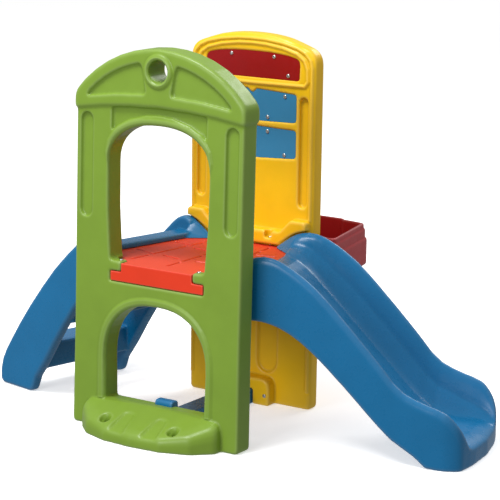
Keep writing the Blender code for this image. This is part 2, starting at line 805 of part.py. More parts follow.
def brace_pocket(grow):
    """Outline, seen from above, of the brace's rear end: a bar that ends in a cross plate."""
    neck, cross = BRACE_HALF + grow, SOCKET_HALF - 0.008 + grow
    front = REAR_Y - SOCKET_DEPTH - 0.02
    step_y, back = REAR_Y - 0.006 - grow, REAR_Y + 0.016 + grow
    right = [(neck, front), (neck, step_y), (cross, step_y), (cross, back)]
    return [(-neck, front)] + right + [(-cross, back), (-cross, step_y), (-neck, step_y)]


def make_rear_wall():
    y0, y1 = REAR_Y, REAR_BACK_Y
    wall = prism("rear_wall", rear_outline(), y0, y1, upright, YELLOW)
    round_edges(wall, 0.010, 2, 40.0)
    shoulder = prism("shoulder", shoulder_outline(), y0 - SHOULDER_DEPTH, y0 + 0.01, upright)
    half, top = SOCKET_HALF, SOCKET_HEIGHT
    socket_shape = rounded([(-half, 0.0, 0.0), (half, 0.0, 0.0), (half, top, 0.030), (-half, top, 0.030)], 4)
    socket = prism("socket", socket_shape, y0 - SOCKET_DEPTH, y0 + 0.01, upright)
    join(wall, round_edges(shoulder, 0.006, 2, 40.0), round_edges(socket, 0.006, 2, 60.0))
    cut(wall, side_clearance(SLIDE_AT), side_clearance(LADDER_AT))
    pocket_y = (y0 - 0.01, y0 + PANEL_RECESS)
    cut(wall, prism("red_pocket", red_outline(FIT), *pocket_y, upright))
    for up in (-1, 1):
        cut(wall, prism("blue_pocket", blue_outline(up, FIT), *pocket_y, upright))
    for side in (-1, 1):
        flute = capsule(side * 0.1845, 0.623, 0.956, 0.015)
        cut(wall, prism("flute", flute, y0 - 0.02, y0 + REAR_RELIEF, upright))
        leg_recess = capsule(side * 0.066, 0.096, 0.455, 0.036)
        cut(wall, prism("leg_recess", leg_recess, y0 - 0.01, y0 + RELIEF, upright))
    cut(wall, prism("brace_room", brace_pocket(FIT), -0.02, BRACE_HEIGHT + FIT, flat))
    for x, y, z in SHOULDER_SCREW_SEATS:
        cut(wall, cylinder("scoop", (x, y - 0.005, z), (0, 0, 1), SCOOP_RADIUS, 0.06, 16))
        cut(wall, screw_hole((x, y, z), (0, 0, -1), SHOULDER_SCREW_LENGTH))
    for seat in BRACE_SCREW_SEATS:
        cut(wall, screw_hole(seat, (0, 1, 0), BRACE_SCREW_LENGTH))
    for seat in RED_SEATS + UPPER_SEATS + LOWER_SEATS:
        cut(wall, screw_hole(seat, (0, 1, 0), PANEL_SCREW_LENGTH))
    for seat in BIN_SCREW_SEATS:
        cut(wall, screw_hole(seat, (0, -1, 0), BIN_SCREW_LENGTH))
    return shade(wall)


def make_panel(name, outline, seats, mat):
    back = REAR_Y + PANEL_RECESS - GAP
    panel = prism(name, outline, PANEL_FACE_Y, back, upright, mat)
    for seat in seats:
        cut(panel, screw_hole(seat, (0, 1, 0), PANEL_SCREW_LENGTH))
    return panel


# ---------------------------------------------------------------- deck
def deck_outline():
    front, rear = DECK_FRONT_Y, DECK_REAR_Y
    inset = GAP
    return rounded(
        [
            (-deck_edge_x(front) + inset, front, 0.006),
            (deck_edge_x(front) - inset, front, 0.006),
            (deck_edge_x(rear) - inset, rear, 0.004),
            (-deck_edge_x(rear) + inset, rear, 0.004),
        ],
        2,
    )


# Lengthwise lines of the brick pattern: share of the deck's half width, then each stroke's two ends.
COURSES = (
    (0.0, ((-0.013, 0.055), (0.064, 0.165), (0.174, 0.285), (0.294, 0.378))),
    (0.53, ((0.004, 0.078), (0.090, 0.246), (0.258, 0.318), (0.330, 0.378))),
)
# Joints between them: share and depth at the inner end, then at the outer end.
JOINTS = (
    ((0.55, 0.098), (0.90, 0.124)),
    ((0.12, 0.086), (0.39, 0.100)),
    ((0.55, 0.262), (0.90, 0.280)),
    ((0.12, 0.226), (0.39, 0.238)),
)


def brick_grooves():
    """Cutters for the brick pattern on the deck; depths run back from the deck's front edge."""
    half_width, depth = 0.0046, 0.0042
    grooves = []

    def spot(share, back):
        y = DECK_FRONT_Y + back
        return Vector((share * deck_edge_x(y), y))

    def strip(start, end):
        across = Vector((start.y - end.y, end.x - start.x)).normalized() * half_width
        outline = [start - across, end - across, end + across, start + across]
        grooves.append(prism("groove", [tuple(p) for p in outline], DECK_TOP - depth, DECK_TOP + 0.01, flat))

    for share, strokes in COURSES:
        for side in (-1, 1) if share else (1,):
            for start, end in strokes:
                strip(spot(side * share, start), spot(side * share, end))
    for (inner, near), (outer, far) in JOINTS:
        for side in (-1, 1):
            strip(spot(side * inner, near), spot(side * outer, far))
    return grooves


def make_platform():
    deck = prism("platform", deck_outline(), DECK_BOTTOM, DECK_TOP, flat, ORANGE)
    round_edges(deck, 0.004, 2, 60.0)
    front = front_at(DECK_TOP)
    root = DECK_FRONT_Y + 0.010
    behind = front_at(LUG_TOP) + LUG_DEPTH + FIT
    lower = box("tongue_low", (-TONGUE_HALF, front, DECK_BOTTOM), (TONGUE_HALF, root, TONGUE_TOP))
    upper = box("tongue_high", (-LUG_HALF, front, DECK_BOTTOM + 0.01), (LUG_HALF, root, DECK_TOP))
    block_low = (-TONGUE_HALF, behind, DECK_BOTTOM + 0.005)
    block_high = (TONGUE_HALF, root, DECK_TOP - 0.0005)
    block = box("tongue_block", block_low, block_high)
    join(lower, upper, block)
    join(deck, round_edges(lower, 0.003, 2, 60.0))
    cut(deck, *brick_grooves())
    for seat in LUG_SCREW_SEATS:
        cut(deck, screw_hole(seat, (0, 0, -1), LUG_SCREW_LENGTH))
    for seat in SHOULDER_SCREW_SEATS:
        cut(deck, screw_hole(seat, (0, 0, -1), SHOULDER_SCREW_LENGTH))
    for place in (SLIDE_AT, LADDER_AT):
        for seat in deck_screw_seats(place):
            cut(deck, screw_hole(seat, (0, 0, 1), DECK_SCREW_LENGTH))
    return shade(deck)


def deck_screw_seats(place):
    """Under the deck, below the two wings of the slide or the ladder."""
    return [place(DECK_SCREW_ALONG, DECK_BOTTOM, side * DECK_SCREW_ACROSS) for side in (-1, 1)]


# ---------------------------------------------------------------- slide
def slide_section(along):
    """Half of the slide's cross-section, as (across, up), from under the floor to its middle."""
    floor, bottom = SLIDE_FLOOR(along), SLIDE_BOTTOM(along)
    crest = SLIDE_CREST(along)
    solid = along < -HOOK + 0.022 or along > 0.545
    under = bottom if solid else floor - 0.032
    rounding = max(0.0, along - (SLIDE_END - FOOT_ROUNDING)) / FOOT_ROUNDING
    drop = 1 - math.sqrt(max(0.0, 1 - min(rounding, 1.0) ** 2))
    half = SIDE_HALF - 0.026 * drop
    crest -= (crest - floor) * 0.92 * drop
    floor -= 0.016 * drop
    inner = half - SIDE_THICKNESS
    flare = min(max((along - 0.46) / (SLIDE_END - 0.46), 0.0), 1.0)  # the floor widens towards the foot
    ledge = floor + (0.42 - 0.30 * flare) * (crest - floor)
    return [
        (0.0, under),
        (inner - 0.026, under),
        (inner, min(under, floor - 0.045) if not solid else bottom),
        (inner + 0.003, bottom),
        (half, bottom),
        (half, crest - 0.020),
        (half - 0.004, crest - 0.007),
        (half - 0.013, crest),
        (half - 0.023, crest - 0.005),
        (half - 0.033, crest - 0.30 * (crest - ledge)),
        (half - 0.042, crest - 0.64 * (crest - ledge)),
        (inner - 0.006, ledge + 0.002),
        (inner - 0.016, ledge - 0.006 * (1 - flare)),
        (inner - 0.046 + 0.022 * flare, floor + 0.001 + 0.009 * (1 - flare)),
        (inner - 0.070 + 0.034 * flare, floor),
        (0.0, floor - 0.001),
    ]


def bowed_end(middle, count):
    """Faces of the slide's bowed foot, as strips from its lower edge up to its rim."""
    top = middle - 1  # the corner at the middle of the floor
    right = [(0, 1, top - 1, top), (1, 2, top - 3, top - 2, top - 1), (2, 3, top - 4, top - 3)]
    right += [(3, 4, top - 5, top - 4)]
    right += [(4, k, k + 1) for k in range(5, top - 5)]
    left = [tuple((count - i) % count for i in face) for face in right]
    return right + left


def make_slide():
    stations = [-HOOK + GAP, -0.0235, -0.0225, 0.0, 0.025]
    stations += [0.05 + 0.034 * i for i in range(14)]
    stations += [0.515, 0.544, 0.546]
    stations += [SLIDE_END - back for back in (0.032, 0.022, 0.014, 0.008, 0.0035, 0.001, 0.0)]
    rings = []
    for along in stations:
        half = slide_section(along)
        ring = half + [(-a, z) for a, z in half[-2:0:-1]]
        grow = min(max((along - 0.42) / 0.12, 0.0), 1.0)
        bow = SLIDE_BOW * grow * grow * (3 - 2 * grow)
        rings.append([SLIDE_AT(along + bow * (1 - (a / SIDE_HALF) ** 2), z, a) for a, z in ring])
    slide = loft("slide", rings, BLUE, bowed_end(len(slide_section(0.0)), len(rings[0])))
    add_wings(slide, SLIDE_CREST, SLIDE_AT)
    for seat in deck_screw_seats(SLIDE_AT):
        cut(slide, screw_hole(seat, (0, 0, 1), DECK_SCREW_LENGTH))
    return shade(slide)


# ---------------------------------------------------------------- ladder
def ladder_side_outline():
    start = -HOOK + GAP
    top = [(s, LADDER_CREST(s)) for s in (start, -0.02, 0.0, 0.02, 0.04)]
    top += [(s, LADDER_CREST(s)) for s in (0.06, 0.08, 0.12, 0.18, 0.24, 0.30, 0.35, 0.39, 0.423)]
    toe = [(0.440, 0.080), (0.449, 0.045), (0.449, 0.012), (0.441, 0.002), (0.430, 0.0)]
    heel = [(0.305, 0.0), (0.293, 0.004), (0.286, 0.016), (0.273, 0.048), (0.250, 0.078), (0.230, 0.104)]
    inside = [(0.181, 0.177), (0.135, 0.240), (0.090, 0.300), (0.050, 0.342), (0.0, 0.366), (start, 0.372)]
    return top + [(along, up * RISE) for along, up in toe + heel + inside]


def make_ladder():
    inner = SIDE_HALF - RAIL_THICKNESS
    ladder = None
    for side in (-1, 1):
        edges = sorted((side * inner, side * SIDE_HALF))
        rail = prism("ladder", ladder_side_outline(), edges[0], edges[1], LADDER_AT, BLUE)
        round_edges(rail, 0.009, 2, 60.0)
        ladder = join(ladder, rail) if ladder else rail
    reach = inner + 0.010
    head = rounded(
        [
            (-HOOK + 0.001, DECK_TOP - 0.126, 0.0),
            (-HOOK + 0.024, DECK_TOP - 0.126, 0.006),
            (-HOOK + 0.028, DECK_TOP - 0.030, 0.020),
            (0.030, DECK_TOP - 0.020, 0.006),
            (0.036, DECK_TOP - 0.003, 0.008),
            (0.006, DECK_TOP + 0.017, 0.020),
            (-HOOK - 0.013, DECK_TOP + 0.018, 0.006),
            (-HOOK - 0.014, DECK_TOP + GAP, 0.0),
            (-HOOK + 0.001, DECK_TOP + GAP, 0.0),
        ]
    )
    join(ladder, prism("head", head, -reach, reach, LADDER_AT))
    add_wings(ladder, LADDER_CREST, LADDER_AT)
    for height in STEP_HEIGHTS:
        inside = 0.250 if height == STEP_HEIGHTS[0] else 0.118
        outline = rounded(
            [
                (inside, height - STEP_SKIRT, 0.004),
                (inside + 0.014, height - STEP_SKIRT, 0.004),
                (inside + 0.020, height - STEP_THICKNESS, 0.008),
                (inside + STEP_DEPTH - 0.012, height - STEP_THICKNESS, 0.004),
                (inside + STEP_DEPTH - 0.012, height - 0.034, 0.004),
                (inside + STEP_DEPTH, height - 0.034, 0.004),
                (inside + STEP_DEPTH, height, 0.007),
                (inside, height, 0.007),
            ]
        )
        join(ladder, prism("step", outline, -reach, reach, LADDER_AT))
    for seat in deck_screw_seats(LADDER_AT):
        cut(ladder, screw_hole(seat, (0, 0, 1), DECK_SCREW_LENGTH))
    return shade(ladder)


# ---------------------------------------------------------------- floor brace
def make_brace():
    lean = FRONT_LEAN * HOOK_TOP
    start = FRONT_BACK_Y + lean + FIT
    end = REAR_Y - SOCKET_DEPTH - FIT
    bar = box("bar", (-BRACE_HALF, start, 0.0), (BRACE_HALF, end, BRACE_HEIGHT))
    outline = [(x, max(y, end - 0.010)) for x, y in brace_pocket(-GAP)]
    brace = prism("floor_brace", outline, 0.001, BRACE_HEIGHT - 0.001, flat, BLUE)
    join(brace, round_edges(bar, 0.005, 2, 60.0))
    back = start + 0.016
    outline = rounded(
        [
            (FRONT_BACK_Y + lean - HOOK_REACH, BRACE_HEIGHT, 0.0),
            (start, BRACE_HEIGHT, 0.0),
            (start, BRACE_HEIGHT - 0.02, 0.0),
            (back, BRACE_HEIGHT - 0.02, 0.0),
            (back, HOOK_TOP, 0.012),
            (FRONT_BACK_Y + lean - HOOK_REACH, HOOK_TOP, 0.012),
        ]
    )
    hook = prism("hook", outline, -HOOK_HALF, HOOK_HALF, lambda y, z, x: (x, y, z))
    join(brace, round_edges(hook, 0.003, 2, 60.0))
    for seat in BRACE_SCREW_SEATS:
        cut(brace, screw_hole(seat, (0, 1, 0), BRACE_SCREW_LENGTH))
    return shade(brace)


# ---------------------------------------------------------------- ball bin
def bin_outline(shrink):
    """The tub seen from above, its sides splayed and the middle of its rear side raised."""
    front = REAR_BACK_Y + GAP + shrink
    back, corner = BIN_BACK - shrink, max(BIN_CORNER - shrink, 0.012)
    right = [
        (BIN_HALF - shrink, front, 0.012),
        (BIN_REAR_HALF - shrink, back - 0.026, corner),
        (BIN_BUMP + 0.014, back - 0.013, 0.006),
        (BIN_BUMP, back, 0.006),
    ]
    left = [(-x, y, radius) for x, y, radius in right[::-1]]
    return rounded(right + left, 4)


def make_bin():
    tub = prism("ball_bin", bin_outline(0.0), BIN_BOTTOM, BIN_TOP - 0.044, flat, DARK_RED)
    round_edges(tub, 0.008, 2, 50.0)
    band = prism("band", bin_outline(BIN_BAND_INSET), BIN_BOTTOM + 0.02, BIN_TOP - 0.016, flat)
    rim = prism("rim", bin_outline(BIN_RIM_INSET), BIN_BOTTOM + 0.03, BIN_TOP, flat)
    join(tub, round_edges(band, 0.003, 2, 50.0), round_edges(rim, 0.003, 2, 50.0))
    inside = bin_outline(BIN_SKIN)
    cut(tub, prism("inside", inside, BIN_BOTTOM + BIN_WALL, BIN_TOP + 0.02, flat))
    front = REAR_BACK_Y + GAP
    backing = box("backing", (-0.16, front, BIN_BOTTOM + 0.04), (0.16, front + BIN_WALL, BIN_TOP - 0.02))
    join(tub, backing)
    for seat in BIN_SCREW_SEATS:
        cut(tub, screw_hole(seat, (0, -1, 0), BIN_SCREW_LENGTH))
    return shade(tub)


# ---------------------------------------------------------------- the whole object
def recentre():
    """Puts the origin under the middle of the whole object's box."""
    bpy.context.view_layer.update()
    corners = [obj.matrix_world @ v.co for obj in bpy.data.objects for v in obj.data.vertices]
    middle_x = (min(c.x for c in corners) + max(c.x for c in corners)) / 2
    middle_y = (min(c.y for c in corners) + max(c.y for c in corners)) / 2
    for obj in bpy.data.objects:
        obj.location -= Vector((middle_x, middle_y, 0.0))


make_front_wall()
make_rear_wall()
make_platform()
make_slide()
make_ladder()
make_brace()
make_bin()
make_panel("red_panel", red_outline(), RED_SEATS, PANEL_RED)
make_panel("upper_blue_panel", blue_outline(1), UPPER_SEATS, PANEL_BLUE)
make_panel("lower_blue_panel", blue_outline(-1), LOWER_SEATS, PANEL_BLUE)
make_screws("red_panel_screw", RED_SEATS, (0, 1, 0), PANEL_SCREW_LENGTH)
make_screws("upper_panel_screw", UPPER_SEATS, (0, 1, 0), PANEL_SCREW_LENGTH)
make_screws("lower_panel_screw", LOWER_SEATS, (0, 1, 0), PANEL_SCREW_LENGTH)
make_screws("front_lug_screw", LUG_SCREW_SEATS, (0, 0, -1), LUG_SCREW_LENGTH)
make_screws("shoulder_screw", SHOULDER_SCREW_SEATS, (0, 0, -1), SHOULDER_SCREW_LENGTH)
make_screws("brace_screw", BRACE_SCREW_SEATS, (0, 1, 0), BRACE_SCREW_LENGTH)
make_screws("slide_screw", deck_screw_seats(SLIDE_AT), (0, 0, 1), DECK_SCREW_LENGTH)
make_screws("ladder_screw", deck_screw_seats(LADDER_AT), (0, 0, 1), DECK_SCREW_LENGTH)
make_screws("bin_screw", BIN_SCREW_SEATS, (0, -1, 0), BIN_SCREW_LENGTH)
recentre()
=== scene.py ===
"""Looks of the toddler slide: soft rotomoulded skins, panels, screws, studio and camera."""

import math

import bmesh
import bpy
import numpy as np
from mathutils import Matrix, Vector


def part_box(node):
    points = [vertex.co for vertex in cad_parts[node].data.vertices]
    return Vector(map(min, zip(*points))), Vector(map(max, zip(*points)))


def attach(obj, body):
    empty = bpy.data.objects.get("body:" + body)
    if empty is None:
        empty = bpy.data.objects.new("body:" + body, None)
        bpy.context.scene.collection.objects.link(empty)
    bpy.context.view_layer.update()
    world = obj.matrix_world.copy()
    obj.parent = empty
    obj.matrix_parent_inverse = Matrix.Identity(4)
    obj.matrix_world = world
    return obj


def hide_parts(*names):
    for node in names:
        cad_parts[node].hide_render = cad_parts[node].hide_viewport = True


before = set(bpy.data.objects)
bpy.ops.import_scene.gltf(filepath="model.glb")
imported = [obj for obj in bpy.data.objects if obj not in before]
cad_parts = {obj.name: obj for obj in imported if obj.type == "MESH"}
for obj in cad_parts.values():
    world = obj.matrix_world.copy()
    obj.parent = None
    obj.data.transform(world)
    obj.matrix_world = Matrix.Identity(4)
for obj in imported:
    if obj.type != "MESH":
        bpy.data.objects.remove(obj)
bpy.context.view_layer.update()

# ---------------------------------------------------------------- where things are
FRONT_LOW, FRONT_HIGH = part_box("front_wall")
REAR_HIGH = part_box("rear_wall")[1]
MIDDLE_X = (FRONT_LOW.x + FRONT_HIGH.x) / 2
LEAN = 0.0258  # the front wall leans back by this much for each metre up
STEP_REACH = 0.116  # how far the base step stands out in front of the front wall
REAR_THICKNESS = 0.050
WALL_FACE = FRONT_LOW.y + STEP_REACH  # front face of the front wall at the floor
REAR_FACE = REAR_HIGH.y - REAR_THICKNESS  # front face of the rear wall
SPLAY = math.radians(12.0)  # how far the slide and the ladder turn away from the X axis

MIX_FIRST, MIX_SECOND, MIX_RESULT = 6, 7, 2  # the colour sockets of a mix node
EDGE_BLUR = 7  # rounds of blur for the edge and hollow attributes
EDGE_REACH = 0.055  # a bend of this share of the voxel size counts as a full edge


# ---------------------------------------------------------------- materials
class Nodes:
    """Short calls for building one material's node tree."""

    def __init__(self, name):
        self.material = bpy.data.materials.new(name)
        self.material.use_nodes = True
        self.tree = self.material.node_tree
        self.shader = self.tree.nodes["Principled BSDF"]

    def add(self, kind, **sockets):
        node = self.tree.nodes.new(kind)
        for name, value in sockets.items():
            socket = node.inputs[name.replace("_", " ")]
            if isinstance(value, bpy.types.NodeSocket):
                self.tree.links.new(value, socket)
            else:
                socket.default_value = value
        return node

    def link(self, output, target):
        self.tree.links.new(output, target)

    def place(self):
        return self.add("ShaderNodeTexCoord").outputs["Object"]

    def noise(self, scale, detail=2.0, roughness=0.5):
        sockets = {"Scale": scale, "Detail": detail, "Roughness": roughness}
        return self.add("ShaderNodeTexNoise", Vector=self.place(), **sockets).outputs["Fac"]

    def remap(self, value, low, high, to_low, to_high):
        sockets = {"From_Min": low, "From_Max": high, "To_Min": to_low, "To_Max": to_high}
        return self.add("ShaderNodeMapRange", Value=value, **sockets).outputs["Result"]

    def blend(self, factor, first, second):
        node = self.tree.nodes.new("ShaderNodeMix")
        node.data_type = "RGBA"
        for key, value in (("Factor", factor), (MIX_FIRST, first), (MIX_SECOND, second)):
            if isinstance(value, bpy.types.NodeSocket):
                self.link(value, node.inputs[key])
            else:
                node.inputs[key].default_value = value
        return node.outputs[MIX_RESULT]

    def bump(self, height, strength, distance, normal=None):
        node = self.add("ShaderNodeBump", Height=height, Strength=strength, Distance=distance)
        if normal is not None:
            self.link(normal, node.inputs["Normal"])
        return node.outputs["Normal"]


def linear(colour):
    """An sRGB colour, 0 to 1 each, as the linear colour that a shader takes."""
    return tuple(c / 12.92 if c <= 0.04045 else ((c + 0.055) / 1.055) ** 2.4 for c in colour) + (1.0,)


def shifted(colour, factor):
    """A linear colour made lighter or darker by this factor."""
    return tuple(min(1.0, c * factor) for c in colour[:3]) + (1.0,)


def plastic(name, colour, roughness=0.36, grain=1.0, mottle=0.05, edge_highlight=0.14, sink=0.30, top_lit_tone_and_finish=None):
    """Rotomoulded polyethylene: faint clouding, orange peel, fine grain, painted highlights on convex edges
    and painted shade in hollows.

    grain scales the bumps, mottle the clouding, rub the painted highlight on convex edges and sink the
    painted shade in hollows.
    tops is (colour, roughness) for faces that look up: the colour is a paler one that paints the sheen of
    the light from above onto them, and the roughness is the duller finish of their moulded grain.
    """
    nodes = Nodes(name)
    base = linear(colour)
    cloud = nodes.remap(nodes.noise(7.0, 3.0, 0.6), 0.3, 0.7, 0.0, 1.0)
    tone = nodes.blend(cloud, shifted(base, 1 - mottle), shifted(base, 1 + mottle))
    patch = nodes.noise(34.0, 3.0, 0.6)
    rough = nodes.remap(patch, 0.3, 0.7, roughness - 0.04, roughness + 0.05)
    fine_depth = 0.16 * grain
    # Up-facing faces get their own paler colour, a painted sheen of the light from above, along with a
    # duller roughness and deeper grain bumps.
    if top_lit_tone_and_finish:
        facing = nodes.tree.nodes.new("ShaderNodeTexCoord").outputs["Normal"]
        upward = nodes.add("ShaderNodeSeparateXYZ", Vector=facing).outputs["Z"]
        on_top = nodes.remap(upward, 0.75, 0.95, 0.0, 1.0)
        speck = nodes.remap(nodes.noise(900.0, 2.0, 0.7), 0.35, 0.65, 0.0, 1.0)
        lit_top_base = linear(top_lit_tone_and_finish[0])
        lit_top_tone = nodes.blend(speck, shifted(lit_top_base, 0.93), shifted(lit_top_base, 1.07))
        tone = nodes.blend(on_top, tone, lit_top_tone)
        rough = nodes.remap(on_top, 0.0, 1.0, roughness, top_lit_tone_and_finish[1])
        fine_depth = nodes.remap(on_top, 0.0, 1.0, 0.10 * grain, 0.45 * grain)
    # Convex edges are blended towards a paler copy of the colour: a painted highlight where light catches
    # the rounded edges, not wear.
    edge = nodes.add("ShaderNodeAttribute")
    edge.attribute_name = "edge"
    highlight_share = nodes.remap(edge.outputs["Fac"], 0.22, 0.9, 0.0, edge_highlight)
    pale = tuple(c + (1 - c) * 0.30 for c in base[:3]) + (1.0,)
    tone = nodes.blend(highlight_share, tone, pale)
    # Hollows and grooves are blended towards a darker copy of the colour: painted shade where less light
    # reaches into them.
    hollow = nodes.add("ShaderNodeAttribute")
    hollow.attribute_name = "hollow"
    shade_share = nodes.remap(hollow.outputs["Fac"], 0.22, 0.9, 0.0, sink)
    tone = nodes.blend(shade_share, tone, shifted(base, 0.45))
    nodes.link(tone, nodes.shader.inputs["Base Color"])
    nodes.link(rough, nodes.shader.inputs["Roughness"])
    peel = nodes.noise(150.0, 2.0, 0.5)
    fine = nodes.noise(1400.0, 2.0, 0.6)
    normal = nodes.bump(peel, 0.08 * grain, 0.0010)
    normal = nodes.bump(fine, fine_depth, 0.00025, normal)
    nodes.link(normal, nodes.shader.inputs["Normal"])
    nodes.shader.inputs["Specular IOR Level"].default_value = 0.36
    return nodes.material


def steel(name):
    """Zinc-plated steel with fine streaks."""
    nodes = Nodes(name)
    nodes.shader.inputs["Metallic"].default_value = 1.0
    streak = nodes.noise(900.0, 2.0, 0.5)
    tone = nodes.blend(streak, (0.52, 0.52, 0.54, 1.0), (0.74, 0.74, 0.75, 1.0))
    nodes.link(tone, nodes.shader.inputs["Base Color"])
    nodes.link(nodes.remap(streak, 0.3, 0.7, 0.22, 0.38), nodes.shader.inputs["Roughness"])
    return nodes.material


GREEN = plastic("green_moulding", (0.480, 0.605, 0.200))
YELLOW = plastic("yellow_moulding", (0.960, 0.760, 0.060))
# For the orange deck, sink gives strong painted shade in its grooves, and the tops colour is a paler
# painted sheen of the light from above on the deck top.
ORANGE = plastic("orange_moulding", (0.890, 0.230, 0.110), roughness=0.32, mottle=0.04, edge_highlight=0.10, sink=0.75,
                 top_lit_tone_and_finish=((0.870, 0.270, 0.150), 0.55))
BLUE = plastic("blue_moulding", (0.060, 0.425, 0.625), roughness=0.28)
DARK_RED = plastic("dark_red_moulding", (0.680, 0.140, 0.165))
PANEL_BLUE = plastic("panel_blue_sheet", (0.225, 0.530, 0.710), roughness=0.34, grain=0.6)
PANEL_RED = plastic("panel_red_sheet", (0.590, 0.020, 0.040), roughness=0.34, grain=0.6)
STEEL = steel("zinc_steel_screws")


# ---------------------------------------------------------------- moulded skins
def vertex_array(mesh, field="co"):
    """One row of three for each vertex: its place, or its normal."""
    values = np.zeros(len(mesh.vertices) * 3)
    mesh.vertices.foreach_get(field, values)
    return values.reshape(-1, 3)


def edge_array(mesh):
    """The two vertices of each edge."""
    ends = np.zeros(len(mesh.edges) * 2, dtype=np.int64)
    mesh.edges.foreach_get("vertices", ends)
    return ends.reshape(-1, 2)


def neighbour_mean(values, ends, count):
    """For each vertex, the mean of the values at the vertices that its edges lead to."""
    size = len(count)
    total = np.empty_like(values)
    for column in range(values.shape[1]):
        taken = values[:, column]
        total[:, column] = np.bincount(ends[:, 0], taken[ends[:, 1]], size)
        total[:, column] += np.bincount(ends[:, 1], taken[ends[:, 0]], size)
    return total / np.maximum(count, 1)[:, None]


def store(mesh, points):
    mesh.vertices.foreach_set("co", points.astype(np.float32).ravel())
    mesh.update()


def soften(mesh, rounds):
    """Rounds every edge a little, as the mould's radii do."""
    points, ends = vertex_array(mesh), edge_array(mesh)
    count = np.bincount(ends.ravel(), minlength=len(points))
    for _ in range(rounds):
        points += 0.5 * (neighbour_mean(points, ends, count) - points)
    store(mesh, points)


def mark_edges(mesh, reach):
    """Stores how convex and how hollow each place is, 0 to 1, as the attributes that the materials read."""
    points, ends = vertex_array(mesh), edge_array(mesh)
    normals = vertex_array(mesh, "normal")
    count = np.bincount(ends.ravel(), minlength=len(points))
    bend = np.einsum("ij,ij->i", points - neighbour_mean(points, ends, count), normals)[:, None]
    for _ in range(EDGE_BLUR):
        bend = 0.5 * (bend + neighbour_mean(bend, ends, count))
    for name, values in (("edge", bend[:, 0]), ("hollow", -bend[:, 0])):
        attribute = mesh.attributes.new(name, "FLOAT", "POINT")
        attribute.data.foreach_set("value", np.clip(values / reach, 0.0, 1.0).astype(np.float32))


def moulded(node, material, voxel, rounds, relief=None, straighten=Matrix()):
    """A soft-edged skin for one moulded CAD node, with fine relief pressed into it.

    straighten lines the piece up with the axes while it is worked on, so that its faces stay flat.
    """
    skin = bpy.data.objects.new(node + "_skin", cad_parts[node].data.copy())
    bpy.context.scene.collection.objects.link(skin)
    skin.data.transform(straighten)
    remesh = skin.modifiers.new("skin", "REMESH")
    remesh.mode = "VOXEL"
    remesh.voxel_size = voxel
    evaluated = skin.evaluated_get(bpy.context.evaluated_depsgraph_get())
    mesh = bpy.data.meshes.new_from_object(evaluated)
    skin.modifiers.clear()
    skin.data = mesh
    soften(mesh, rounds)
    if relief:
        points = vertex_array(mesh)
        store(mesh, points + relief(points, vertex_array(mesh, "normal")))
    mark_edges(mesh, EDGE_REACH * voxel)
    mesh.transform(straighten.inverted())
    mesh.materials.clear()
    mesh.materials.append(material)
    mesh.shade_smooth()
    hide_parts(node)
    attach(skin, "root")
    return skin


# ---------------------------------------------------------------- relief
def ramp(value, start, end):
    """0 before start, 1 after end, and a smooth rise between."""
    t = np.clip((value - start) / (end - start), 0.0, 1.0)
    return t * t * (3 - 2 * t)


def distance_to(across, up, path):
    """How far each point of a face is from a line drawn on that face."""
    nearest = np.full(len(across), 1e9)
    for (x0, z0), (x1, z1) in zip(path, path[1:]):
        dx, dz = x1 - x0, z1 - z0
        t = np.clip(((across - x0) * dx + (up - z0) * dz) / max(dx * dx + dz * dz, 1e-12), 0.0, 1.0)
        nearest = np.minimum(nearest, np.hypot(across - x0 - t * dx, up - z0 - t * dz))
    return nearest


def mirrored(path):
    """A path's right half, from bottom to top, with its left half added."""
    return path + [(-x, z) for x, z in reversed(path)]


def arch(half, spring, top, power, steps=12):
    """Half of an arch, from its spring on the right up to its top on the middle line."""
    angles = [math.pi / 2 * i / steps for i in range(steps)]
    curve = [(half * math.cos(a) ** power, spring + (top - spring) * math.sin(a) ** power) for a in angles]
    return curve + [(0.0, top)]


def raised(distance, half_width, height):
    """A rounded bead of this height along a line."""
    return height * (1 - ramp(distance, 0.25 * half_width, half_width))


def on_face(points, normals, face_y, depth):
    """1 on what faces -Y within depth of face_y, fading to 0 on the sides."""
    return ramp(-normals[:, 1], 0.55, 0.9) * (np.abs(points[:, 1] - face_y) < depth)


CRAWL_BEAD = [(0.192, 0.090)] + arch(0.192, 0.215, 0.400, 0.85)
WINDOW_BEAD = [(0.171, 0.772), (0.180, 0.822)]
WINDOW_BEAD += [spot for spot in arch(0.186, 0.800, 0.924, 0.88) if spot[1] > 0.84]
PEEP_HOLE_HEIGHT = 1.067
PEEP_RING_RADIUS = 0.043


def front_relief(points, normals):
    """Beads round the crawl arch, the window's arch and the peep hole, raised towards -Y."""
    across, up = points[:, 0] - MIDDLE_X, points[:, 2]
    face = on_face(points, normals, WALL_FACE, 0.020)
    crawl = distance_to(across, up, mirrored(CRAWL_BEAD))
    window = distance_to(across, up, mirrored(WINDOW_BEAD))
    hole = np.abs(np.hypot(across, up - PEEP_HOLE_HEIGHT) - PEEP_RING_RADIUS)
    height = raised(crawl, 0.016, 0.0045) + raised(window, 0.011, 0.0030) + raised(hole, 0.009, 0.0040)
    moved = np.zeros_like(points)
    moved[:, 1] = -face * height
    return moved


# Right halves of the rear wall's ridges, as (across, up)
OUTER_RIDGE = [(0.2135, 0.060), (0.2135, 1.045), (0.208, 1.068), (0.190, 1.088)]
OUTER_RIDGE += [(0.160, 1.102), (0.110, 1.113), (0.050, 1.120), (0.0, 1.1215)]
INNER_RIDGE = [(0.0, 0.988), (0.188, 0.990), (0.1985, 1.004), (0.197, 1.040), (0.186, 1.066)]
INNER_RIDGE += [(0.160, 1.084), (0.110, 1.098), (0.050, 1.106), (0.0, 1.108)]


